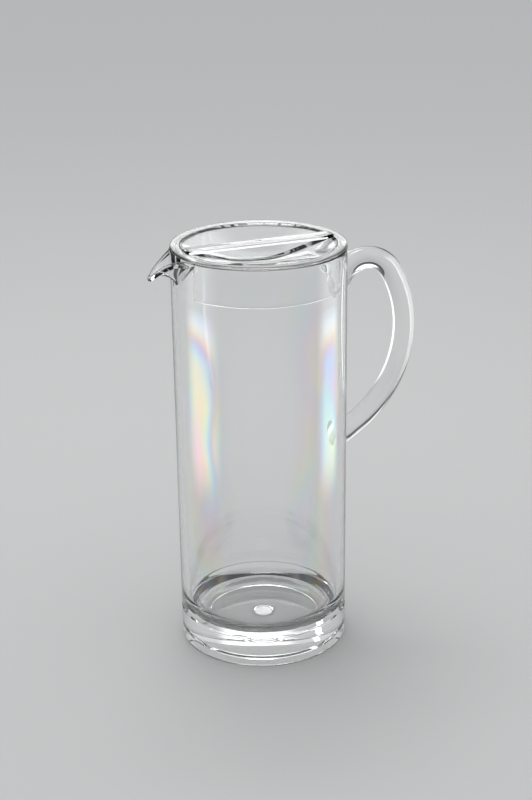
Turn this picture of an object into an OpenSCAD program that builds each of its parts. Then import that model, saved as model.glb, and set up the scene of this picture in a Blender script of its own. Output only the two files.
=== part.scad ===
// Clear plastic beer pitcher: a straight barrel on a thick solid foot, with a pouring beak,
// an ear handle of round rod, and a loose lid that turns to open or shut the way to the beak.
// Millimetres. +Z is up and the origin is the centre of the face that the foot rests on.
// +X points to the handle and -X to the beak. The lid is drawn in its pouring position.

/* [Barrel] */
// Height of the barrel's rim above the table
rim_h = 252.4; // [180:0.2:320]
// Outer diameter at the rim
rim_d = 105; // [85:0.5:130]
// How much the outside narrows from the rim down to the seam, on the radius
outer_draft = 0.65; // [0:0.05:2]
// Wall thickness at the rim
rim_wall = 3.2; // [2:0.1:4.5]
// How much the wall gains from the rim down to the seam
core_draft = 2; // [0:0.1:3]
// Rounding of the rim's two edges
rim_round = 0.6; // [0.2:0.1:1]

/* [Foot] */
// Height of the seam between foot and barrel
foot_h = 20.5; // [12:0.5:40]
// Height of the inner floor above the table
floor_h = 18; // [10:0.5:30]
// Radius of the corner between floor and wall
floor_round = 14; // [2:0.5:20]
// Rounding of the foot's lower edge
foot_round = 1.5; // [0.5:0.1:3]
// Depth of each side of the V groove at the seam
groove = 0.7; // [0.3:0.1:1.2]
// Inner diameter of the ring that the foot rests on
ring_d = 72; // [50:0.5:80]
// Rise of the recess inside that ring
recess_h = 1.2; // [0.5:0.1:3]
// Width of the sloping edge of the recess
recess_slope = 1; // [0.5:0.1:4]
// Diameter of the moulding gate's round dimple under the foot
gate_d = 11.4; // [6:0.2:16]
// Depth of that dimple
gate_depth = 0.5; // [0.2:0.1:1]

/* [Beak] */
// Reach of the beak past the barrel's outside
beak_reach = 15.8; // [8:0.2:25]
// Drop of the lip from the rim to the tip
beak_drop = 11.1; // [4:0.1:16]
// Width of the beak inside the wall
beak_root_w = 31; // [18:0.2:36]
// How much the lips flare out on each side where they run into the rim
beak_flare = 6.2; // [0:0.2:8]
// Width of the blunt tip
beak_tip_w = 5.2; // [4:0.1:8]
// Height of the beak at its tip
beak_tip_h = 4.4; // [3:0.1:6]
// Length of the rounded nose at the tip
beak_nose = 2.6; // [1:0.1:5]
// How much deeper the beak is at its root than at its tip
beak_swell = 17.3; // [8:0.1:22]
// Thickness of the beak's floor
beak_floor_t = 2.5; // [1.5:0.1:2.8]
// Thickness of the beak's lip
beak_lip_t = 1.5; // [0.8:0.1:1.6]
// Height of the upright band along the outside of the lip
beak_band = 3.4; // [2:0.1:4]
// Depth inside the barrel's outside at which the beak's curves start
beak_start = 4.2; // [1:0.1:6]

/* [Handle] */
// Diameter of the handle's rod
rod_d = 13.6; // [9:0.2:16]
// Radius of the knuckle at the top, on the rod's centre line
knuckle_r = 19; // [15:0.5:25]
// Distance of the knuckle's centre from the barrel's outside
knuckle_x = 16.8; // [14:0.2:24]
// Depth of the knuckle's centre below the rim
knuckle_drop = 34.2; // [28:0.1:50]
// Radius of the long back of the handle, on the rod's centre line
back_r = 72; // [60:0.5:85]
// Rise of the rod where it leaves the barrel, in degrees
root_rise = 56; // [40:1:65]
// Where the knuckle runs into the back, in degrees above level
blend_a = 30; // [20:1:40]

/* [Lid] */
// Thickness of the lid's flat rim
lid_t = 1.6; // [1.3:0.1:4]
// How far the lid's rim stands in from the barrel's outside
lid_inset = 0.3; // [0:0.1:1]
// Rounding of the lid's outer edge
lid_round = 0.6; // [0.3:0.1:0.7]
// Depth of the skirt that centres the lid in the barrel
skirt_h = 23.2; // [10:0.2:30]
// Thickness of the skirt
skirt_t = 2.4; // [1.5:0.1:3]
// Clearance between the skirt's lower edge and the barrel's wall
skirt_clear = 0.45; // [0.3:0.05:1]
// Angle of the gap in the skirt that lets the drink out, in degrees
pour_gap = 42; // [20:1:60]
// Step from the lid's rim down to the edge of the dish
dish_step = 0.4; // [0.2:0.1:1]
// Slope of the dish's straight sides, in degrees
dish_slope = 15; // [8:0.5:20]
// Radius of the ball that rounds the middle of the dish
dish_ball_r = 75; // [40:1:120]
// Thickness of the dish
dish_t = 2.5; // [1.5:0.1:3.5]
// Running clearance between the rim and the dish that turns with the bar
rim_gap = 0.05; // [0.03:0.01:0.1]
// Width of the grip bar across the dish
bar_w = 8.8; // [6:0.2:14]
// Rise of the grip bar above the lid's rim
bar_rise = 1.4; // [0.5:0.1:6]
// Wall of the grip bar, which is open from below
bar_t = 2.6; // [1.5:0.1:2.8]
// Rounding of the grip bar's upper edges
bar_round = 0.8; // [0.3:0.1:1.5]
// Diameter of the round gate mark on the grip bar
mark_d = 3.6; // [2:0.2:5]
// Depth of that mark
mark_depth = 0.3; // [0.1:0.1:0.6]

/* [Hidden] */
$fn = 96;
clear_jug = [0.84, 0.89, 0.92, 0.35];
clear_lid = [0.90, 0.93, 0.94, 0.35];
// Overshoot of a cutting shape past the face that it cuts
past = 2;

// Barrel and foot
rim_r = rim_d / 2;
seam_r = rim_r - outer_draft;
rim_bore_r = rim_r - rim_wall;
seam_bore_r = seam_r - rim_wall - core_draft;
barrel_h = rim_h - foot_h;
function outer_r(z) = seam_r + outer_draft * (z - foot_h) / barrel_h;
function bore_r(z) = seam_bore_r + (rim_bore_r - seam_bore_r) * (z - foot_h) / barrel_h;

// Beak, from its root inside the wall to its tip
beak_root_r = rim_r - beak_start;
beak_tip_r = rim_r + beak_reach;
beak_steps = 32;
beak_sides = 8;
// Powers that shape the droop of the lip, the taper and flare in plan and the swell of the underside
droop_power = 1.9;
taper_power = 1.25;
flare_power = 10;
swell_power = 2;
// Size of the nose's blunt end, as a share of the tip
nose_end = 0.5;
// Roundness of the V at the bottom of the channel
vee_round = 0.16;
function along(r) = max(0, min(1, (r - beak_root_r) / (beak_tip_r - beak_root_r)));
function nose(r) = let (s = max(0, min(1, 1 - (beak_tip_r - r) / beak_nose)))
    sqrt(1 - (1 - nose_end * nose_end) * s * s);
function lip_z(r) = rim_h - beak_drop * pow(along(r), droop_power);
function taper(t) = (beak_tip_w + (beak_root_w - beak_tip_w) * pow(1 - t, taper_power)) / 2;
function half_w(r) = nose(r) * (taper(along(r)) + beak_flare * pow(1 - along(r), flare_power));
function keel_z(r) = lip_z(r) - nose(r) * (beak_tip_h + beak_swell * pow(1 - along(r), swell_power));
function vee(v) = (sqrt(v * v + vee_round * vee_round) - vee_round)
    / (sqrt(1 + vee_round * vee_round) - vee_round);
function vee_row(r, half, low, high) = [
    for (i = [-beak_sides : beak_sides])
        let (v = i / beak_sides) [-r, half * v, low + (high - low) * vee(v)]
];
function outside_row(r) = vee_row(r, half_w(r), keel_z(r), lip_z(r) - nose(r) * beak_band);
function inside_row(r) = vee_row(
    r, half_w(r) - nose(r) * beak_lip_t,
    keel_z(r) + nose(r) * beak_floor_t, lip_z(r) - nose(r) * (beak_band - beak_lip_t)
);
// A row of points with one more at each end, straight above it at a height
function raised(row, high) = let (a = row[0], b = row[len(row) - 1])
    concat([[a[0], a[1], high]], row, [[b[0], b[1], high]]);
function backwards(list) = [for (i = [len(list) - 1 : -1 : 0]) list[i]];

// Depth of the beak's root corners inside the barrel's outside
beak_sink = 1;
beak_from = sqrt(pow(rim_r - beak_sink, 2) - pow(half_w(beak_root_r), 2));

// Handle, in the plane of X and Z
knuckle_c = [outer_r(rim_h - knuckle_drop) + knuckle_x, rim_h - knuckle_drop];
knuckle_from = root_rise + 90;
root_at = knuckle_c + knuckle_r * [cos(knuckle_from), sin(knuckle_from)];
// The bent knuckle is a hair thicker than the rod on either side of it, and laps over its ends
rod_step = 0.1;
knuckle_lap = 1;
back_c = knuckle_c + (knuckle_r - back_r) * [cos(blend_a), sin(blend_a)];
// The back runs on until its centre line is well inside the barrel
back_end = -acos((seam_bore_r - rod_d - back_c[0]) / back_r);
root_reach = (knuckle_x + rod_d) / cos(root_rise);

// Lid
lid_top = rim_h + lid_t;
lid_r = rim_r - lid_inset;
skirt_r = bore_r(rim_h - skirt_h) - skirt_clear;
dish_r = skirt_r - skirt_t;
rim_in_r = dish_r + rim_gap;
dish_edge_z = lid_top - dish_step;
// Height of the ball's centre, with straight sides that run on from the ball up to the dish's edge
dish_ball_z = dish_edge_z + dish_ball_r * cos(dish_slope)
    - (dish_r - dish_ball_r * sin(dish_slope)) * tan(dish_slope);
bar_top = lid_top + bar_rise;
bar_low = dish_ball_z - dish_ball_r - dish_t - past;

// A solid skinned over loops of points. Each loop runs along a lower row and back along an upper
// row of as many points, so each end is closed by a strip between the two rows.
module skin(loops) {
    n = len(loops[0]);
    last = len(loops) - 1;
    sides = [
        for (i = [0 : last - 1], k = [0 : n - 1], half = [0, 1])
            let (a = i * n + k, b = i * n + (k + 1) % n)
                half == 0 ? [b, a + n, a] : [b + n, a + n, b]
    ];
    strip = [
        for (k = [0 : n / 2 - 2], half = [0, 1])
            half == 0 ? [n - 1 - k, k + 1, k] : [n - 1 - k, n - 2 - k, k + 1]
    ];
    far_strip = [for (face = strip) [for (k = backwards(face)) last * n + k]];
    polyhedron([for (loop = loops, p = loop) p], concat(sides, strip, far_strip));
}

// The inside of the beak's channel from radius r_from to r_to, open above
module channel(r_from, r_to) {
    skin([
        for (i = [0 : beak_steps])
            let (row = inside_row(r_from + (r_to - r_from) * i / beak_steps))
                concat(row, backwards([for (p = row) [p[0], p[1], rim_h + past]]))
    ]);
}

// Everything inside the barrel's outer face, carried on above the rim
module barrel_envelope() {
    top = rim_h + past;
    rotate_extrude()
        polygon([[0, 0], [outer_r(0), 0], [outer_r(top), top], [0, top]]);
}

// A pie slice about the Z axis, centred on -X
module pour_wedge(angle, z_from, z_to) {
    reach = rim_r + past;
    half = angle / 2;
    translate([0, 0, z_from])
        linear_extrude(z_to - z_from)
            polygon([
                [0, 0],
                reach * [-1, tan(half)],
                reach * [-1, -tan(half)]
            ]);
}

// Half of the section of the drink's space: a drafted bore that widens at the rim's round,
// over a flat floor with a round corner
module cavity_section() {
    bend_h = floor_h + floor_round;
    corner_r = bore_r(bend_h) - floor_round;
    flare_r = rim_bore_r + rim_round;
    polygon([
        [-past, floor_h],
        [corner_r, floor_h],
        [corner_r, bend_h],
        [bore_r(bend_h), bend_h],
        [bore_r(rim_h - rim_round), rim_h - rim_round],
        [flare_r, rim_h],
        [flare_r, rim_h + past],
        [-past, rim_h + past]
    ]);
    intersection() {
        translate([corner_r, bend_h])
            circle(floor_round);
        translate([corner_r, floor_h])
            square(floor_round);
    }
}

module barrel() {
    color(clear_jug)
        difference() {
            rotate_extrude()
                difference() {
                    polygon([
                        [0, foot_h],
                        [seam_r - groove, foot_h],
                        [outer_r(foot_h + groove), foot_h + groove],
                        [outer_r(rim_h - rim_round), rim_h - rim_round],
                        [rim_r - rim_round, rim_h],
                        [0, rim_h]
                    ]);
                    cavity_section();
                }
            channel(rim_bore_r - rim_wall - past, rim_r + past);
        }
}

// Half of the foot's section: a solid block below the seam, with the recess and the dimple below
module foot_section() {
    edge_r = outer_r(0) - foot_round;
    difference() {
        union() {
            polygon([
                [0, 0],
                [edge_r, 0],
                [edge_r, foot_round],
                [outer_r(foot_round), foot_round],
                [outer_r(foot_h - groove), foot_h - groove],
                [seam_r - groove, foot_h],
                [0, foot_h]
            ]);
            intersection() {
                translate([edge_r, foot_round])
                    circle(foot_round);
                translate([edge_r, 0])
                    square(foot_round);
            }
        }
        cavity_section();
        polygon([
            [-past, -past],
            [ring_d / 2, -past],
            [ring_d / 2, 0],
            [ring_d / 2 - recess_slope, recess_h],
            [-past, recess_h]
        ]);
        translate([-past, 0])
            square([gate_d / 2 + past, recess_h + gate_depth]);
    }
}

module foot() {
    color(clear_jug)
        rotate_extrude()
            foot_section();
}

module beak() {
    color(clear_jug)
        difference() {
            skin([
                for (i = [0 : beak_steps])
                    let (r = beak_from + (beak_tip_r - beak_from) * i / beak_steps)
                        concat(
                            raised(outside_row(r), lip_z(r)),
                            backwards(raised(inside_row(r), lip_z(r)))
                        )
            ]);
            barrel_envelope();
        }
}

// A stretch of rod bent to a radius about a centre in the plane of X and Z
module rod_arc(centre, radius, from, to, d) {
    translate([centre[0], 0, centre[1]])
        rotate([90, 0, 0])
            rotate([0, 0, to])
                rotate_extrude(angle = from - to)
                    translate([radius, 0])
                        circle(d = d);
}

module handle() {
    color(clear_jug)
        difference() {
            union() {
                rod_arc(knuckle_c, knuckle_r, knuckle_from + knuckle_lap, blend_a - knuckle_lap, rod_d);
                rod_arc(back_c, back_r, blend_a, back_end, rod_d - rod_step);
                translate([root_at[0], 0, root_at[1]])
                    rotate([0, -90 - root_rise, 0])
                        cylinder(d = rod_d - rod_step, h = root_reach);
            }
            barrel_envelope();
        }
}

module lid_rim() {
    edge_r = lid_r - lid_round;
    color(clear_lid)
        translate([0, 0, rim_h])
            rotate_extrude() {
                polygon([
                    [rim_in_r, 0],
                    [edge_r, 0],
                    [edge_r, lid_round],
                    [lid_r, lid_round],
                    [lid_r, lid_t - lid_round],
                    [edge_r, lid_t - lid_round],
                    [edge_r, lid_t],
                    [rim_in_r, lid_t]
                ]);
                for (low = [0, lid_t - lid_round])
                    intersection() {
                        translate([edge_r, low == 0 ? lid_round : low])
                            circle(lid_round);
                        translate([edge_r, low])
                            square(lid_round);
                    }
            }
}

// The outline of the bar's section, y across and z up, thinned by inset on both sides and the top
module bar_outline(inset) {
    half = bar_w / 2 - inset;
    top = bar_top - inset;
    translate([-half, bar_low - inset])
        square([2 * half, top - bar_round - bar_low + inset]);
    translate([bar_round - half, bar_low])
        square([2 * (half - bar_round), top - bar_low]);
    for (side = [-1, 1])
        translate([side * (half - bar_round), top - bar_round])
            circle(bar_round);
}

// Half of the section of everything between a top height and the dish's upper face, which is
// moved down by drop: a ball in the middle with straight sides out to the edge
module dish_section(drop, top) {
    radius = dish_ball_r + drop;
    turn_r = radius * sin(dish_slope);
    turn_z = dish_ball_z - radius * cos(dish_slope);
    intersection() {
        translate([0, dish_ball_z])
            circle(radius);
        translate([0, bar_low])
            square([turn_r, top - bar_low]);
    }
    polygon([
        [turn_r, turn_z],
        [dish_r, turn_z + (dish_r - turn_r) * tan(dish_slope)],
        [dish_r, top],
        [turn_r, top]
    ]);
}

module lid_dish() {
    color(clear_lid)
        difference() {
            rotate_extrude()
                difference() {
                    dish_section(dish_t, bar_top);
                    dish_section(0, bar_top + past);
                }
            translate([-rim_r, -bar_w / 2, bar_low])
                cube([rim_d, bar_w, bar_top - bar_low]);
        }
}

module lid_bar() {
    color(clear_lid)
        difference() {
            intersection() {
                translate([-rim_r, 0, 0])
                    rotate([90, 0, 90])
                        linear_extrude(rim_d)
                            difference() {
                                bar_outline(0);
                                bar_outline(bar_t);
                            }
                rotate_extrude()
                    dish_section(dish_t, bar_top + past);
            }
            translate([0, 0, bar_top - mark_depth])
                cylinder(d = mark_d, h = past);
        }
}

module lid_skirt() {
    color(clear_lid)
        difference() {
            translate([0, 0, rim_h - skirt_h])
                rotate_extrude()
                    translate([dish_r, 0])
                        square([skirt_t, skirt_h]);
            pour_wedge(pour_gap, rim_h - skirt_h - past, rim_h + past);
        }
}

barrel();
foot();
beak();
handle();
lid_rim();
lid_dish();
lid_bar();
lid_skirt();
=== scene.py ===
"""Clear plastic beer pitcher on a pale studio floor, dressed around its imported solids."""
import math

import bmesh
import bpy
from mathutils import Matrix, Vector


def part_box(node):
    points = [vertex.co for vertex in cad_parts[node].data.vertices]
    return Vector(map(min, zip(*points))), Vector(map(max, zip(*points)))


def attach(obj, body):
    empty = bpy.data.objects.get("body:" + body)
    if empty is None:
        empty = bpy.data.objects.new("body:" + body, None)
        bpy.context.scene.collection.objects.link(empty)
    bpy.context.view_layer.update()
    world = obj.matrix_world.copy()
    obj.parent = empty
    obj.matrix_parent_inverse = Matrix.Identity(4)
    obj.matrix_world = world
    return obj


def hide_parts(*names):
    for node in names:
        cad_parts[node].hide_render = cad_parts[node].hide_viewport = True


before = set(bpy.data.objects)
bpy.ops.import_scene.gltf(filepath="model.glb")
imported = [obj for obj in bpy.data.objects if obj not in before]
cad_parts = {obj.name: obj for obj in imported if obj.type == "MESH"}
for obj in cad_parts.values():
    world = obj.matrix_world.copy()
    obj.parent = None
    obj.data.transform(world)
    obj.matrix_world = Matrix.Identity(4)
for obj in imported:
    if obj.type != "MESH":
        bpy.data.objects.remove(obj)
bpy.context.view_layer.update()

# Lengths of the pitcher are millimetres, and its meshes are written in metres. The stage is in metres.
MM = 0.001


def corners(node):
    """The lowest and highest corner of a CAD node, in millimetres."""
    return [Vector(c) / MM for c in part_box(node)]


# Sizes read from the frame
barrel_hi = corners("barrel")[1]
foot_hi = corners("foot")[1]
beak_lo = corners("beak")[0]
dish_hi = corners("lid_dish")[1]
handle_lo, handle_hi = corners("handle")
rim_lo, rim_hi = corners("lid_rim")
bar_lo, bar_hi = corners("lid_bar")
skirt_lo, skirt_hi = corners("lid_skirt")

RIM_Z = barrel_hi.z
RIM_R = barrel_hi.y
SEAM_Z = foot_hi.z
BEAK_TIP_R = -beak_lo.x
LID_R = rim_hi.y
LID_TOP = rim_hi.z
LID_LOW = rim_lo.z
DISH_R = dish_hi.y
DISH_EDGE_Z = dish_hi.z
BAR_TOP = bar_hi.z
BAR_W = bar_hi.y - bar_lo.y
SKIRT_R = skirt_hi.y
SKIRT_LOW = skirt_lo.z
ROD_R = (handle_hi.y - handle_lo.y) / 2

# Gap that keeps touching clear faces apart, so that light meets each face once
HAIR = 0.06
# Points nearer than this are one point
MERGE = 0.002
# How far a corner of a section is eased
EASE = 0.05
# How far a cut runs past what it cuts, and a straight stretch starts past a bend
PAST = 2.0
# Distance between points along the straight stretches of a section
PITCH = 3.0
# Faces around a turned piece
TURNS = 288


def stations(start, end, steps):
    """Evenly spaced values from start to end, both included."""
    return [start + (end - start) * i / steps for i in range(steps + 1)]


def on_circle(centre, radius, angle):
    """A point on a circle in a plane, at an angle in degrees."""
    a = math.radians(angle)
    return (centre[0] + radius * math.cos(a), centre[1] + radius * math.sin(a))


def arc(centre, radius, start, end, steps):
    """Points on an arc in a plane, angles in degrees."""
    return [on_circle(centre, radius, a) for a in stations(start, end, steps)]


def rungs(start, end, pitch):
    """Points from start up to, but not at, end, about one pitch apart."""
    n = max(1, round(math.dist(start, end) / pitch))
    return [tuple(a + (b - a) * i / n for a, b in zip(start, end)) for i in range(n)]


def both_edges(x, edge):
    """The points (y, z) of an edge at one station, then the same edge mirrored, on the way back."""
    return [(x, y, z) for y, z in edge] + [(x, -y, z) for y, z in reversed(edge)]


def new_object(name, bm):
    """A mesh object from a bmesh in millimetres, with its faces turned outward."""
    bmesh.ops.recalc_face_normals(bm, faces=bm.faces)
    bmesh.ops.scale(bm, vec=(MM, MM, MM), verts=bm.verts)
    mesh = bpy.data.meshes.new(name)
    bm.to_mesh(mesh)
    bm.free()
    obj = bpy.data.objects.new(name, mesh)
    bpy.context.scene.collection.objects.link(obj)
    return obj


def lathe(name, profile, turns=TURNS):
    """A solid turned about Z from a loop of (radius, height) points, which may have its ends on the axis."""
    bm = bmesh.new()
    angles = [2 * math.pi * k / turns for k in range(turns)]
    rings = []
    for r, z in profile:
        if r < MERGE:
            rings.append([bm.verts.new((0, 0, z))])
        else:
            rings.append([bm.verts.new((r * math.cos(a), r * math.sin(a), z)) for a in angles])
    on_axis = len(rings[0]) == 1
    pairs = list(zip(rings, rings[1:])) + ([] if on_axis else [(rings[-1], rings[0])])
    for a, b in pairs:
        for k in range(turns):
            n = (k + 1) % turns
            loop = [a[k % len(a)], a[n % len(a)], b[n % len(b)], b[k % len(b)]]
            bm.faces.new(list(dict.fromkeys(loop)))
    return new_object(name, bm)


def loft(name, loops):
    """A solid skinned over closed loops of points, with flat ends."""
    bm = bmesh.new()
    rings = [[bm.verts.new(p) for p in loop] for loop in loops]
    n = len(rings[0])
    for a, b in zip(rings, rings[1:]):
        for k in range(n):
            bm.faces.new((a[k], a[(k + 1) % n], b[(k + 1) % n], b[k]))
    ends = [bm.faces.new(rings[0]), bm.faces.new(rings[-1])]
    bmesh.ops.triangulate(bm, faces=ends)
    return new_object(name, bm)


def combine(obj, operation, tool):
    """Joins, cuts or trims obj with tool, which is used up."""
    mod = obj.modifiers.new("combine", "BOOLEAN")
    mod.operation = operation
    mod.solver = "EXACT"
    mod.object = tool
    depsgraph = bpy.context.evaluated_depsgraph_get()
    mesh = bpy.data.meshes.new_from_object(obj.evaluated_get(depsgraph))
    obj.modifiers.clear()
    old = obj.data
    obj.data = mesh
    bpy.data.meshes.remove(old)
    bpy.data.meshes.remove(tool.data)


def smooth(obj, angle=30):
    """Joins points that the cuts left together, then shades smooth, broken at edges sharper than angle."""
    bm = bmesh.new()
    bm.from_mesh(obj.data)
    bmesh.ops.remove_doubles(bm, verts=bm.verts, dist=MERGE * MM)
    bmesh.ops.dissolve_degenerate(bm, edges=bm.edges, dist=MERGE * MM)
    bm.to_mesh(obj.data)
    bm.free()
    obj.data.shade_smooth()
    obj.data.set_sharp_from_angle(angle=math.radians(angle))


# Barrel and foot
OUTER_DRAFT = 0.65
RIM_WALL = 3.2
CORE_DRAFT = 2.0
RIM_ROUND = 0.6
WALL_PITCH = 5.0
FLOOR_Z = 18.0
FLOOR_ROUND = 14.0
FOOT_ROUND = 1.5
FOOT_STEP = 0.5
GROOVE = 0.7
GROOVE_FLAT = 0.12
GROOVE_EDGE = 0.25
GROOVE_CLEAR = 0.4
REST_RING_R = 36.0
RING_EASE = 0.3
RECESS_H = 1.2
RECESS_SLOPE = 1.0
GATE_R = 5.7
GATE_DEPTH = 0.5
GATE_EASE = 0.2
GATE_LEAN = 0.3
FLOOR_STEPS, RIM_STEPS, FOOT_STEPS = 24, 5, 8

SEAM_R = RIM_R - OUTER_DRAFT
RIM_BORE_R = RIM_R - RIM_WALL
SEAM_BORE_R = SEAM_R - RIM_WALL - CORE_DRAFT
GATE_TOP = RECESS_H + GATE_DEPTH


def outer_r(z):
    """The barrel's outside radius at a height, carried on down through the foot."""
    return SEAM_R + OUTER_DRAFT * (z - SEAM_Z) / (RIM_Z - SEAM_Z)


def bore_r(z):
    """The barrel's inside radius at a height."""
    return SEAM_BORE_R + (RIM_BORE_R - SEAM_BORE_R) * (z - SEAM_Z) / (RIM_Z - SEAM_Z)


def outside(z, sink=0):
    """A point of the jug's section on the outside of its wall, or sunk below it."""
    return (outer_r(z) - sink, z)


def inside(z):
    """A point of the jug's section on the inside of its wall."""
    return (bore_r(z), z)


def jug_profile():
    """Section of the foot and barrel, from the middle of the floor round to the middle of the underside."""
    bend = FLOOR_Z + FLOOR_ROUND
    corner = (bore_r(bend) - FLOOR_ROUND, bend)
    rim = RIM_Z - HAIR
    rim_bend = rim - RIM_ROUND
    groove_top, groove_low = SEAM_Z + GROOVE, SEAM_Z - GROOVE
    foot_edge = (outer_r(0) - FOOT_ROUND, FOOT_ROUND)
    recess_r = REST_RING_R - RECESS_SLOPE
    gate_edge = (GATE_R + GATE_EASE, RECESS_H)
    points = rungs((0, FLOOR_Z), (corner[0], FLOOR_Z), PITCH)
    points += arc(corner, FLOOR_ROUND, -90, 0, FLOOR_STEPS)
    points += rungs(inside(bend + PAST), inside(rim_bend), WALL_PITCH)
    points += arc((RIM_BORE_R + RIM_ROUND, rim_bend), RIM_ROUND, 180, 90, RIM_STEPS)
    points += arc((RIM_R - RIM_ROUND, rim_bend), RIM_ROUND, 90, 0, RIM_STEPS)
    points += rungs(outside(rim - PAST), outside(groove_top + GROOVE_CLEAR), WALL_PITCH)
    points += [
        outside(groove_top + GROOVE_EDGE),
        outside(groove_top, EASE),
        (SEAM_R - GROOVE, SEAM_Z + GROOVE_FLAT),
        (SEAM_R - GROOVE, SEAM_Z - GROOVE_FLAT),
        outside(groove_low, EASE),
        outside(groove_low - GROOVE_EDGE),
    ]
    points += rungs(outside(SEAM_Z - PAST), outside(FOOT_ROUND), PITCH)
    points += arc(foot_edge, FOOT_ROUND, 0, -90, FOOT_STEPS)
    points += rungs((foot_edge[0] - FOOT_STEP, 0), (REST_RING_R + RING_EASE, 0), PITCH)
    points += [
        (REST_RING_R, EASE),
        (recess_r, RECESS_H - EASE),
        (recess_r - RING_EASE, RECESS_H),
    ]
    points += rungs((recess_r - PAST, RECESS_H), gate_edge, PITCH)
    points += [
        gate_edge,
        (GATE_R, RECESS_H + GATE_EASE / 2),
        (GATE_R - GATE_LEAN, GATE_TOP),
        (0, GATE_TOP),
    ]
    return points


# Beak: curves along its length, from the root inside the wall to the blunt tip
BEAK_SINK = 4.2
BEAK_ROOT_R = RIM_R - BEAK_SINK
BEAK_ROOT_W = 31.0
BEAK_FLARE = 6.2
BEAK_TIP_W = 5.2
BEAK_TIP_H = 4.4
BEAK_SWELL = 17.3
BEAK_DROP = 11.1
BEAK_NOSE = 2.6
NOSE_END = 0.5
BEAK_FLOOR_T = 2.5
BEAK_LIP_T = 1.5
BEAK_BAND = 3.4
INNER_BAND = 1.6
LIP_ROUND = 0.5
LIP_STEPS = 5
DROOP_POWER, TAPER_POWER, SWELL_POWER, FLARE_POWER = 1.9, 1.25, 2, 10
VEE_ROUND = 0.16
BEAK_STEPS = 72
BEAK_SIDES = 20
# How far inside the root and the bore the block and the channel begin
BLOCK_SINK = 6.0
CHANNEL_SINK = 8.0
# How far above the rim the channel and the plug that trims the block rise
CHANNEL_RISE = 4.0
CORE_RISE = 10.0
CORE_TURNS = 96


def beak_at(r):
    """Lip height, half width, depth and end scale of the beak at a distance from the axis."""
    t = min(1, max(0, (r - BEAK_ROOT_R) / (BEAK_TIP_R - BEAK_ROOT_R)))
    s = min(1, max(0, 1 - (BEAK_TIP_R - r) / BEAK_NOSE))
    size = math.sqrt(1 - (1 - NOSE_END ** 2) * s * s)
    lip = RIM_Z - HAIR - BEAK_DROP * t ** DROOP_POWER
    half = (BEAK_TIP_W + (BEAK_ROOT_W - BEAK_TIP_W) * (1 - t) ** TAPER_POWER) / 2
    half += BEAK_FLARE * (1 - t) ** FLARE_POWER
    depth = BEAK_TIP_H + BEAK_SWELL * (1 - t) ** SWELL_POWER
    return lip, half * size, depth * size, size


def vee_row(r, half, low, high):
    """A row of points across a rounded V."""
    flat = math.sqrt(1 + VEE_ROUND ** 2) - VEE_ROUND
    row = []
    for i in range(-BEAK_SIDES, BEAK_SIDES + 1):
        v = i / BEAK_SIDES
        rise = (math.sqrt(v * v + VEE_ROUND ** 2) - VEE_ROUND) / flat
        row.append((-r, half * v, low + (high - low) * rise))
    return row


def beak_block_loop(r):
    """Outside of the beak at one station, closed by a flat top with rounded edges."""
    lip, half, depth, size = beak_at(r)
    bend = LIP_ROUND * size
    row = vee_row(r, half, lip - depth, lip - BEAK_BAND * size)
    return row + both_edges(-r, arc((half - bend, lip - bend), bend, 0, 90, LIP_STEPS))


def channel_loop(r):
    """Inside of the beak's channel at one station, flared at the lips and open above."""
    lip, half, depth, size = beak_at(r)
    bend = LIP_ROUND * size
    inner = half - BEAK_LIP_T * size
    row = vee_row(r, inner, lip - depth + BEAK_FLOOR_T * size, lip - INNER_BAND * size)
    flare = arc((inner + bend, lip - bend), bend, 180, 90, LIP_STEPS)
    return row + both_edges(-r, flare + [(inner + bend, RIM_Z + CHANNEL_RISE)])


def wall_core():
    """A plug that fills the barrel to the middle of its wall, to trim what is joined on from outside."""
    top = RIM_Z + CORE_RISE
    side = [((bore_r(z) + outer_r(z)) / 2, z) for z in (SEAM_Z, top)]
    return lathe("beak_trim", [(0, SEAM_Z), *side, (0, top)], CORE_TURNS)


def build_jug():
    """The barrel, foot and beak as one clear piece."""
    jug = lathe("jug_body", jug_profile())
    block_at = stations(BEAK_ROOT_R - BLOCK_SINK, BEAK_TIP_R, BEAK_STEPS)
    beak = loft("beak_block", [beak_block_loop(r) for r in block_at])
    combine(beak, "DIFFERENCE", wall_core())
    combine(jug, "UNION", beak)
    channel_at = stations(RIM_BORE_R - CHANNEL_SINK, BEAK_TIP_R + PAST, BEAK_STEPS)
    combine(jug, "DIFFERENCE", loft("channel_cut", [channel_loop(r) for r in channel_at]))
    smooth(jug)
    return jug


# Handle: a straight root, a knuckle and a long back, the last two arcs in the plane of X and Z
KNUCKLE_R = 19.0
KNUCKLE_DROP = 34.2
KNUCKLE_X = 16.8
BACK_R = 72.0
ROOT_RISE = 56.0
BLEND_A = 30.0
# How much fuller the rod is at the wall, and how far from the wall that reaches
ROOT_FULLER = 0.10
ROOT_REACH = 5.0
ROD_SIDES = 64
ROOT_STEPS, KNUCKLE_STEPS, BACK_STEPS = 16, 48, 96


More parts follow.
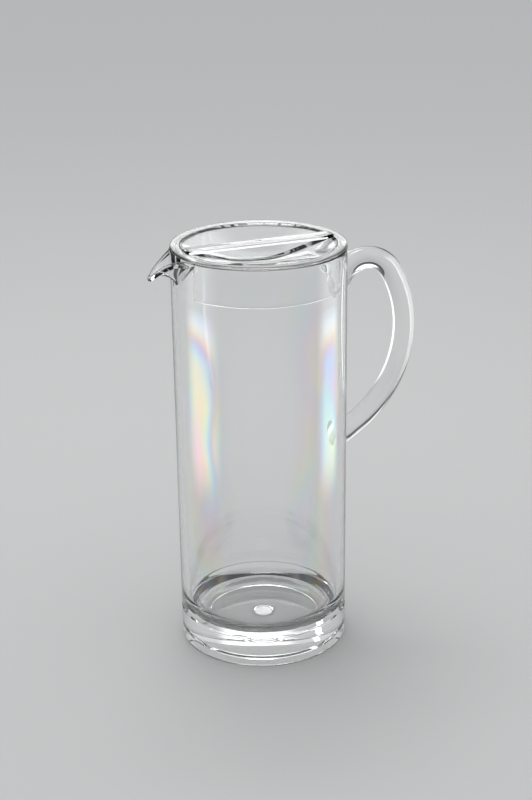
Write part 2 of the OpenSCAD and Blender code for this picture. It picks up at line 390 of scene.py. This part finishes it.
def handle_path():
    """Centre line of the rod as (x, z, angle of the outward side), from the upper root to the lower one."""
    z = RIM_Z - KNUCKLE_DROP
    knuckle = (outer_r(z) + KNUCKLE_X, z)
    back = on_circle(knuckle, KNUCKLE_R - BACK_R, BLEND_A)
    start = ROOT_RISE + 90
    end = -math.degrees(math.acos((SEAM_BORE_R - 2 * ROD_R - back[0]) / BACK_R))
    root = on_circle(knuckle, KNUCKLE_R, start)
    run = (KNUCKLE_X + 2 * ROD_R) / math.cos(math.radians(ROOT_RISE))
    # The root runs straight down from the knuckle into the barrel
    path = [(*on_circle(root, -s, ROOT_RISE), start) for s in stations(run, 0, ROOT_STEPS)[:-1]]
    path += [(*on_circle(knuckle, KNUCKLE_R, a), a) for a in stations(start, BLEND_A, KNUCKLE_STEPS)]
    path += [(*on_circle(back, BACK_R, a), a) for a in stations(BLEND_A, end, BACK_STEPS)[1:]]
    return path


def rod_loop(x, z, angle):
    """The rod's round section, a little fuller where it runs into the wall."""
    a = math.radians(angle)
    clear = max(0, abs(x) - outer_r(z))
    radius = ROD_R * (1 + ROOT_FULLER * math.exp(-(clear / ROOT_REACH) ** 2))
    loop = []
    for k in range(ROD_SIDES):
        q = 2 * math.pi * k / ROD_SIDES
        out = radius * math.cos(q)
        loop.append((x + out * math.cos(a), radius * math.sin(q), z + out * math.sin(a)))
    return loop


def build_handle():
    """The bent rod, trimmed a hair outside the barrel."""
    rod = loft("handle_rod", [rod_loop(*p) for p in handle_path()])
    wall = [outside(z, -HAIR) for z in (SEAM_Z, RIM_Z)]
    combine(rod, "DIFFERENCE", lathe("rod_trim", [(0, SEAM_Z), *wall, (0, RIM_Z)]))
    smooth(rod)
    return rod


# Lid
LID_ROUND = 0.6
LID_PITCH = 1.5
STEP_EASE = 0.3
STEP_LEAN = 0.2
SKIRT_ROUND = 0.5
DISH_T = 2.5
DISH_BALL_R = 75.0
DISH_SLOPE = 15.0
LID_STEPS, SKIRT_STEPS, DISH_STEPS = 6, 4, 24
# Fillet below the rim, as distances out from the skirt and down
SKIRT_FILLET = ((1.2, 0.0), (0.4, 0.1), (0.0, 0.5))
# Corner inside the skirt, in along the dish's underside and down the skirt
UNDER_IN, UNDER_DOWN = 0.5, 0.6
# Grip bar, and the mark that its gate left
BAR_T = 2.6
BAR_ROUND = 0.8
BAR_LAP = 0.3
BAR_SINK = 1.0
BAR_STEPS = 8
KEEP_TURNS = 192
MARK_R = 1.8
MARK_DEPTH = 0.3
MARK_LEAN = 0.4
MARK_RISE = 1.0
MARK_TURNS = 48
# Gap in the skirt: its angle, how far its top stays below the rim, and how far the cut reaches in and out
POUR_GAP = math.radians(42)
POUR_DROP = 0.4
POUR_IN = 1.5
POUR_OUT = 1.0
POUR_STEPS = 24


def dish_curve(grow, out_to):
    """The dish's upper face moved down by grow, from the axis out to a radius: a ball, then a cone."""
    lean = math.radians(DISH_SLOPE)
    flat_low = DISH_EDGE_Z - (DISH_R - DISH_BALL_R * math.sin(lean)) * math.tan(lean)
    centre = flat_low + DISH_BALL_R * math.cos(lean)
    points = arc((0, centre), DISH_BALL_R + grow, -90, -90 + DISH_SLOPE, DISH_STEPS)
    r, z = points.pop()
    end = (out_to, z + (out_to - r) * math.tan(lean))
    return points + rungs((r, z), end, PITCH) + [end]


def lid_profile():
    """Section of the lid without its bar, from the middle of the dish round to the middle below it."""
    low = LID_LOW + HAIR
    edge_r = LID_R - LID_ROUND
    skirt_in = DISH_R
    skirt_bend = SKIRT_LOW + SKIRT_ROUND
    under = dish_curve(DISH_T, skirt_in - UNDER_IN)
    under_edge = (skirt_in, under[-1][1] - UNDER_DOWN)
    points = dish_curve(0, DISH_R)
    points += [
        (DISH_R + STEP_EASE / 2, DISH_EDGE_Z + STEP_EASE / 2),
        (DISH_R + STEP_LEAN, LID_TOP - STEP_EASE),
        (DISH_R + STEP_LEAN + STEP_EASE, LID_TOP),
    ]
    points += rungs((DISH_R + LID_PITCH, LID_TOP), (edge_r, LID_TOP), LID_PITCH)
    points += arc((edge_r, LID_TOP - LID_ROUND), LID_ROUND, 90, 0, LID_STEPS)
    points += arc((edge_r, low + LID_ROUND), LID_ROUND, 0, -90, LID_STEPS)
    points += [(SKIRT_R + out, low - down) for out, down in SKIRT_FILLET]
    points += rungs((SKIRT_R, low - PAST), (SKIRT_R, skirt_bend), PITCH)
    points += arc((SKIRT_R - SKIRT_ROUND, skirt_bend), SKIRT_ROUND, 0, -90, SKIRT_STEPS)
    points += arc((skirt_in + SKIRT_ROUND, skirt_bend), SKIRT_ROUND, -90, -180, SKIRT_STEPS)
    points += rungs((skirt_in, SKIRT_LOW + PAST), under_edge, PITCH)
    points += [under_edge, *reversed(under)]
    return points


def bar_loop(x, inset, low):
    """The grip bar's section at one station, thinned by inset on its sides and top."""
    half = BAR_W / 2 - inset
    top = BAR_TOP - inset
    edge = arc((half - BAR_ROUND, top - BAR_ROUND), BAR_ROUND, 0, 90, LID_STEPS)
    return both_edges(x, [(half, low)] + edge)


def bar_solid(name, reach, inset, low):
    """A length of the grip bar's section, across the lid's middle."""
    return loft(name, [bar_loop(x, inset, low) for x in stations(-reach, reach, BAR_STEPS)])


def pour_sector():
    """A block that opens the skirt towards the beak."""
    low, high = SKIRT_LOW - PAST, LID_LOW + HAIR - POUR_DROP
    inner, outer = DISH_R - POUR_IN, SKIRT_R + POUR_OUT
    section = [(inner, low), (outer, low), (outer, high), (inner, high)]
    loops = []
    for a in stations(math.pi - POUR_GAP / 2, math.pi + POUR_GAP / 2, POUR_STEPS):
        loops.append([(r * math.cos(a), r * math.sin(a), z) for r, z in section])
    return loft("pour_cut", loops)


def gate_mark():
    """A plug that dents the middle of the bar's top."""
    floor, above = BAR_TOP - MARK_DEPTH, BAR_TOP + MARK_RISE
    side = [(MARK_R - MARK_LEAN, floor), (MARK_R, BAR_TOP - EASE), (MARK_R + 2 * EASE, above)]
    return lathe("gate_mark", [(0, floor), *side, (0, above)], MARK_TURNS)


def build_lid():
    """The lid as one clear piece: rim, dish, hollow grip bar and skirt."""
    lid = lathe("lid_moulding", lid_profile())
    bar_end = DISH_R + BAR_LAP
    above = BAR_TOP + PAST
    keep_curve = dish_curve(DISH_T / 2, bar_end)
    bar = bar_solid("bar_block", bar_end, 0, keep_curve[0][1] - BAR_SINK)
    combine(bar, "INTERSECT", lathe("bar_keep", keep_curve + [(bar_end, above), (0, above)], KEEP_TURNS))
    combine(lid, "UNION", bar)
    combine(lid, "DIFFERENCE", bar_solid("bar_slot", DISH_R - BAR_T, BAR_T, SKIRT_LOW))
    combine(lid, "DIFFERENCE", pour_sector())
    combine(lid, "DIFFERENCE", gate_mark())
    smooth(lid)
    return lid


class Nodes:
    """A short way to write the nodes of a material, a lamp or the world."""

    def __init__(self, owner):
        owner.use_nodes = True
        self.tree = owner.node_tree
        self.tree.nodes.clear()

    def add(self, kind, **settings):
        """A new node with its settings."""
        node = self.tree.nodes.new("ShaderNode" + kind)
        for key, value in settings.items():
            setattr(node, key, value)
        return node

    def feed(self, socket, value):
        """Links a socket to another one, or sets its value."""
        if isinstance(value, bpy.types.NodeSocket):
            self.tree.links.new(value, socket)
        else:
            socket.default_value = value

    def feed_all(self, node, **values):
        """Feeds sockets by name, with _ for each space in a name."""
        for name, value in values.items():
            self.feed(node.inputs[name.replace("_", " ")], value)

    def math(self, operation, *values):
        """The result of an operation on values."""
        node = self.add("Math", operation=operation)
        for socket, value in zip(node.inputs, values):
            self.feed(socket, value)
        return node.outputs[0]

    def ramp(self, value, start, end, low=0.0, high=1.0):
        """The value eased from low at start to high at end, and held beyond them."""
        node = self.add("MapRange", interpolation_type="SMOOTHSTEP")
        self.feed_all(node, Value=value, From_Min=start, From_Max=end, To_Min=low, To_Max=high)
        return node.outputs["Result"]

    def mix(self, factor, a, b):
        """Colour a, turned into colour b by factor."""
        node = self.add("Mix", data_type="RGBA")
        self.feed_all(node, Factor=factor, A=a, B=b)
        return node.outputs["Result"]

    def split(self, vector):
        """The X, Y and Z of a vector."""
        node = self.add("SeparateXYZ")
        self.feed(node.inputs[0], vector)
        return node.outputs


class PlaceNodes(Nodes):
    """Nodes that know the place that is shaded: its height, and its distance and turn about the axis."""

    def __init__(self, owner):
        super().__init__(owner)
        self.place = self.add("TexCoord").outputs["Object"]
        x, y, self.z = self.split(self.place)
        squares = [self.math("MULTIPLY", v, v) for v in (x, y)]
        self.radius = self.math("SQRT", self.math("ADD", *squares))
        self.turn = self.math("ARCTAN2", y, x)

    def noise(self, scale, detail=2.0, stretch=(1, 1, 1)):
        """Noise about the place, drawn out along an axis where stretch is below 1."""
        squeeze = self.add("Mapping")
        self.feed_all(squeeze, Scale=stretch, Vector=self.place)
        node = self.add("TexNoise")
        self.feed_all(node, Scale=scale, Detail=detail, Vector=squeeze.outputs["Vector"])
        return node.outputs["Fac"]


# Finish of the plastic
PLASTIC_IOR = 1.49
FILM_IOR = 1.8
BODY_TINT = (0.985, 0.992, 0.992)
LID_TINT = (0.99, 0.994, 0.994)
CLOUD_DEPTH = 1.6
SCRATCH_ROUGH = 0.05
HAZE_ROUGH = 0.02
FROST_ROUGH = (0.3, 0.45)
FROST_EDGE = 0.1
GATE_SHINE = 0.85
WAVE_STRENGTH = 0.05
WAVE_DISTANCE = 0.002
# Values between which noise mostly lies
NOISE_RANGE = (0.2, 0.8)

# Where the wall carries stress colours: angle about the axis and half width, in degrees
STRESS_BANDS = ((-157.0, 26.0), (-64.0, 28.0), (30.0, 22.0), (118.0, 26.0))
# Share of a half width that is at full strength, and how far a band wavers, in radians
BAND_CORE = 0.1
BAND_WAVER = 0.16
# Heights from the seam and from the skirt's lower edge between which the colours come and go
STRESS_IN = (4.0, 45.0)
STRESS_OUT = (-40.0, 5.0)
# Distance inside the bore's radius at the seam over which they end, so that the floor has none
STRESS_DEPTH = 1.0
# Thickness in nanometres of the film that stands for the stress, at the seam and at the rim, and its spread
FILM_LOW, FILM_HIGH, FILM_SPREAD = 330.0, 190.0, 70.0
# Runs through the colours: per radian, up the whole height, and by noise
FRINGE_TURN, FRINGE_RISE, FRINGE_NOISE = 1.4, 1.7, 1.2
# The colours that stressed plastic runs through, faint because each ray meets several faces
STRESS_COLOURS = (
    (0.90, 0.99, 0.91), (0.99, 0.97, 0.86), (1.00, 0.91, 0.94),
    (0.94, 0.91, 1.00), (0.88, 0.95, 1.00), (0.90, 0.99, 0.91),
)


def tinted(n, tint):
    """The plastic's colour, a little deeper in soft clouds."""
    deeper = [c ** CLOUD_DEPTH for c in tint]
    return n.mix(n.ramp(n.noise(scale=9.0), 0.35, 0.7), (*tint, 1), (*deeper, 1))


def worn(n):
    """Roughness from upright hairline scratches and patches of haze."""
    scratch = n.noise(scale=260.0, detail=3.0, stretch=(1, 1, 0.06))
    haze = n.noise(scale=45.0, detail=3.0)
    scratched = n.ramp(scratch, 0.62, 0.78, high=SCRATCH_ROUGH)
    return n.math("ADD", scratched, n.ramp(haze, 0.5, 0.8, high=HAZE_ROUGH))


def waves(n):
    """Normals of the faint waves that the flow of the plastic leaves."""
    height = n.noise(scale=26.0, detail=1.0, stretch=(1, 1, 0.35))
    bump = n.add("Bump")
    n.feed_all(bump, Strength=WAVE_STRENGTH, Distance=WAVE_DISTANCE, Height=height)
    return bump.outputs["Normal"]


def gate_frost(n):
    """Mask of the frosted gate disc under the foot."""
    disc = n.ramp(n.radius, (GATE_R - FROST_EDGE) * MM, (GATE_R + FROST_EDGE) * MM, 1.0, 0.0)
    below = n.ramp(n.z, GATE_TOP * MM, (GATE_TOP + 2 * FROST_EDGE) * MM, 1.0, 0.0)
    return n.math("MULTIPLY", disc, below)


def end_frost(n):
    """Mask of the rod's bonded ends, which lie a hair outside the barrel."""
    wall = n.ramp(n.z, SEAM_Z * MM, RIM_Z * MM, SEAM_R * MM, RIM_R * MM)
    return n.ramp(n.math("SUBTRACT", n.radius, wall), HAIR * MM, 3 * HAIR * MM, 1.0, 0.0)


def stress_mask(n):
    """Where the wall shows stress colours: wavering upright bands between the foot and the lid's skirt."""
    waver = n.ramp(n.noise(scale=11.0, stretch=(1, 1, 0.6)), *NOISE_RANGE, -BAND_WAVER, BAND_WAVER)
    mask = 0.0
    for angle, half in STRESS_BANDS:
        turned = n.math("ADD", n.math("SUBTRACT", n.turn, math.radians(angle)), waver)
        away = n.math("ABSOLUTE", n.math("WRAP", turned, math.pi, -math.pi))
        band = n.ramp(away, math.radians(half * BAND_CORE), math.radians(half), 1.0, 0.0)
        mask = n.math("MAXIMUM", mask, band)
    rise = [(SEAM_Z + h) * MM for h in STRESS_IN]
    fall = [(SKIRT_LOW + h) * MM for h in STRESS_OUT]
    limits = (
        n.ramp(n.z, *rise),
        n.ramp(n.z, *fall, 1.0, 0.0),
        n.ramp(n.radius, (SEAM_BORE_R - STRESS_DEPTH) * MM, SEAM_BORE_R * MM),
    )
    for limit in limits:
        mask = n.math("MULTIPLY", mask, limit)
    return mask


def film_thickness(n):
    """Thickness of the film that stands for the stress in the wall."""
    drift = n.ramp(n.noise(scale=16.0, stretch=(1, 1, 0.5)), *NOISE_RANGE, -FILM_SPREAD, FILM_SPREAD)
    return n.math("ADD", n.ramp(n.z, SEAM_Z * MM, RIM_Z * MM, FILM_LOW, FILM_HIGH), drift)


def fringe_colour(n):
    """The stress colours, run through about the axis and up the wall."""
    around = n.math("MULTIPLY", n.turn, FRINGE_TURN)
    upward = n.ramp(n.z, 0.0, RIM_Z * MM, high=FRINGE_RISE)
    drift = n.ramp(n.noise(scale=9.0), *NOISE_RANGE, high=FRINGE_NOISE)
    phase = n.math("FRACT", n.math("ADD", n.math("ADD", around, upward), drift))
    fringe = n.add("ValToRGB")
    n.feed_all(fringe, Fac=phase)
    stops = fringe.color_ramp.elements
    for at in stations(0, 1, len(STRESS_COLOURS) - 1)[1:-1]:
        stops.new(at)
    for stop, colour in zip(stops, STRESS_COLOURS):
        stop.color = (*colour, 1)
    return fringe.outputs["Color"]


def clear_plastic(name, tint, frost=None, shine=0.0, stressed=False):
    """Clear moulded plastic. Frost gives the mask of a frosted spot, and shine makes that spot bright."""
    mat = bpy.data.materials.new(name)
    n = PlaceNodes(mat)
    bsdf = n.add("BsdfPrincipled")
    n.feed_all(bsdf, Transmission_Weight=1, IOR=PLASTIC_IOR, Thin_Film_IOR=FILM_IOR)
    colour = tinted(n, tint)
    rough = worn(n)
    if frost:
        mask = frost(n)
        grain = n.ramp(n.noise(scale=700.0), 0.35, 0.65, *FROST_ROUGH)
        rough = n.math("ADD", rough, n.math("MULTIPLY", mask, grain))
        if shine:
            n.feed_all(bsdf, Metallic=n.math("MULTIPLY", mask, shine))
    if stressed:
        mask = stress_mask(n)
        n.feed_all(bsdf, Thin_Film_Thickness=n.math("MULTIPLY", mask, film_thickness(n)))
        colour = n.mix(mask, colour, fringe_colour(n))
    n.feed_all(bsdf, Base_Color=colour, Roughness=rough, Normal=waves(n))
    n.feed_all(n.add("OutputMaterial"), Surface=bsdf.outputs["BSDF"])
    return mat


def paint(obj, mat):
    """Gives obj one material, in place of what the cuts left."""
    obj.data.materials.clear()
    obj.data.materials.append(mat)


jug = build_jug()
paint(jug, clear_plastic("clear_jug", BODY_TINT, gate_frost, GATE_SHINE, stressed=True))
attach(jug, "jug")
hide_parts("barrel", "foot", "beak")

handle = build_handle()
paint(handle, clear_plastic("clear_rod", BODY_TINT, end_frost))
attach(handle, "jug")
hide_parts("handle")

lid = build_lid()
paint(lid, clear_plastic("clear_lid", LID_TINT))
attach(lid, "lid_top")
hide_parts("lid_rim", "lid_dish", "lid_bar", "lid_skirt")

# Camera, fitted to the ellipses of the rim, the seam and the foot in the photo: millimetres and radians
CAM_DISTANCE = 964.97
CAM_HEIGHT = 527.54
CAM_AZIMUTH = math.radians(20.5)
CAM_PITCH = 0.3684
CAM_YAW = 0.0034
CAM_ROLL = -0.0129
FOCAL_PX = 1700
FRAME_PX = 800
SENSOR_MM = 36.0


def add_camera():
    """The camera at the photo's place, aimed by its pitch, yaw and roll."""
    turn = Matrix.Rotation(-CAM_AZIMUTH, 3, "Z")
    ahead = Vector((
        math.sin(CAM_YAW) * math.cos(CAM_PITCH),
        math.cos(CAM_YAW) * math.cos(CAM_PITCH),
        -math.sin(CAM_PITCH),
    ))
    right = Vector((math.cos(CAM_YAW), -math.sin(CAM_YAW), 0))
    up = right.cross(ahead)
    c, s = math.cos(CAM_ROLL), math.sin(CAM_ROLL)
    rolled_right = turn @ (c * right + s * up)
    rolled_up = turn @ (c * up - s * right)
    ahead = turn @ ahead
    place = turn @ Vector((0, -CAM_DISTANCE, CAM_HEIGHT)) * MM
    camera = bpy.data.objects.new("camera", bpy.data.cameras.new("camera"))
    camera.data.lens = FOCAL_PX * SENSOR_MM / FRAME_PX
    camera.data.sensor_width = SENSOR_MM
    basis = Matrix((rolled_right, rolled_up, -ahead)).transposed()
    camera.matrix_world = Matrix.Translation(place) @ basis.to_4x4()
    bpy.context.scene.collection.objects.link(camera)
    bpy.context.scene.camera = camera


# Stage, in metres
FLOOR_HALF = 60.0
FLOOR_DROP = 0.0002
FLOOR_GREY = (0.6, 0.6, 0.6, 1)
# The sky's colour, its low and high strength, and the upward part of a direction where each is reached
SKY_COLOUR = (0.98, 0.99, 1.0, 1)
SKY_LOW, SKY_HIGH = 0.08, 1.0
SKY_FROM, SKY_TO = 0.1, 0.8
# Upright strips: distance from the axis, height of the middle and length
STRIP_OUT = 0.24
STRIP_Z = 0.17
STRIP_H = 2 * STRIP_Z
# Point on the axis that the panels behind the pitcher face
BACK_AIM = (0, 0, 0.25)


def add_floor():
    """A wide matt floor, a little below the foot."""
    mesh = bpy.data.meshes.new("floor")
    square = [(-1, -1), (1, -1), (1, 1), (-1, 1)]
    points = [(FLOOR_HALF * x, FLOOR_HALF * y, -FLOOR_DROP) for x, y in square]
    mesh.from_pydata(points, [], [range(len(points))])
    floor = bpy.data.objects.new("floor", mesh)
    bpy.context.scene.collection.objects.link(floor)
    mat = bpy.data.materials.new("floor_paper")
    n = Nodes(mat)
    bsdf = n.add("BsdfPrincipled")
    n.feed_all(bsdf, Base_Color=FLOOR_GREY, Roughness=1, Specular_IOR_Level=0)
    n.feed_all(n.add("OutputMaterial"), Surface=bsdf.outputs["BSDF"])
    mesh.materials.append(mat)


def add_sky():
    """Soft light from above that falls off towards the horizon."""
    world = bpy.data.worlds.new("studio")
    n = Nodes(world)
    up = n.split(n.add("TexCoord").outputs["Generated"])["Z"]
    background = n.add("Background")
    n.feed_all(background, Color=SKY_COLOUR, Strength=n.ramp(up, SKY_FROM, SKY_TO, SKY_LOW, SKY_HIGH))
    n.feed_all(n.add("OutputWorld"), Surface=background.outputs["Background"])
    bpy.context.scene.world = world


def beside(across, away, up):
    """A point given in metres to the right of the camera's view, away from the camera and up."""
    c, s = math.cos(CAM_AZIMUTH), math.sin(CAM_AZIMUTH)
    return (c * across + s * away, c * away - s * across, up)


def add_softbox(name, place, target, size, level, soft=(0.3, 0.3),
                lights_floor=False, seen_through=True, only=None):
    """A soft-edged panel whose middle has about the brightness level, where a white surface has 1.

    The camera never sees it. It can be hidden from light that has passed through plastic, and can
    light only one piece.
    """
    light = bpy.data.lights.new(name, "AREA")
    light.shape = "RECTANGLE"
    light.size, light.size_y = size
    light.energy = level * math.pi * size[0] * size[1]
    n = Nodes(light)
    fade = 1.0
    for part, edge in zip(n.split(n.add("NewGeometry").outputs["Parametric"]), soft):
        to_edge = n.math("SUBTRACT", 0.5, n.math("ABSOLUTE", n.math("SUBTRACT", part, 0.5)))
        fade = n.math("MULTIPLY", fade, n.ramp(to_edge, 0.0, edge))
    glow = n.add("Emission")
    n.feed_all(glow, Strength=fade)
    n.feed_all(n.add("OutputLight"), Surface=glow.outputs["Emission"])
    obj = bpy.data.objects.new(name, light)
    obj.location = place
    obj.rotation_euler = (Vector(target) - Vector(place)).to_track_quat("-Z", "Y").to_euler()
    obj.visible_diffuse = lights_floor
    obj.visible_camera = False
    obj.visible_transmission = seen_through
    bpy.context.scene.collection.objects.link(obj)
    if only:
        lit = bpy.data.collections.new(name + "_lights")
        lit.objects.link(only)
        obj.light_linking.receiver_collection = lit


def add_lamps():
    """Panels above and behind the pitcher, upright strips at its sides, and two panels for the handle."""
    add_softbox("top_box", beside(-0.3, 0.3, 1.6), (0, 0, 0.1), size=(1.0, 1.0), level=1.8,
                lights_floor=True)
    add_softbox("key_box", beside(-0.05, 0.4, 1.05), (0, 0, 0.2), size=(0.5, 0.3), level=7.0,
                soft=(0.35, 0.35), lights_floor=True)
    add_softbox("back_box", beside(0.12, 1.5, 0.95), BACK_AIM, size=(1.3, 1.1), level=0.9)
    add_softbox("back_strip", beside(-0.75, 1.2, 0.85), BACK_AIM, size=(0.16, 1.2), level=2.2)
    add_softbox("back_low", beside(0.0, 1.6, 0.62), BACK_AIM, size=(1.6, 0.35), level=1.6,
                soft=(0.25, 0.4))
    add_softbox("left_strip", beside(-STRIP_OUT, -0.06, STRIP_Z), (0, 0, STRIP_Z), size=(0.28, STRIP_H),
                level=2.0, soft=(0.4, 0.15), seen_through=False)
    add_softbox("right_strip", beside(STRIP_OUT, 0.02, STRIP_Z), (0, 0, STRIP_Z), size=(0.22, STRIP_H),
                level=2.2, soft=(0.4, 0.15), seen_through=False)
    add_softbox("rod_panel", beside(STRIP_OUT, 0.08, STRIP_Z), beside(0, 0.08, STRIP_Z),
                size=(0.24, STRIP_H), level=1.1, soft=(0.3, 0.12), only=handle)
    add_softbox("rod_glint", beside(0.36, -0.05, 0.2), beside(0.1, 0, 0.2), size=(0.12, 0.4), level=7.0,
                soft=(0.5, 0.3), seen_through=False, only=handle)


add_camera()
add_floor()
add_lamps()
add_sky()
bpy.context.scene.view_settings.view_transform = "Standard"
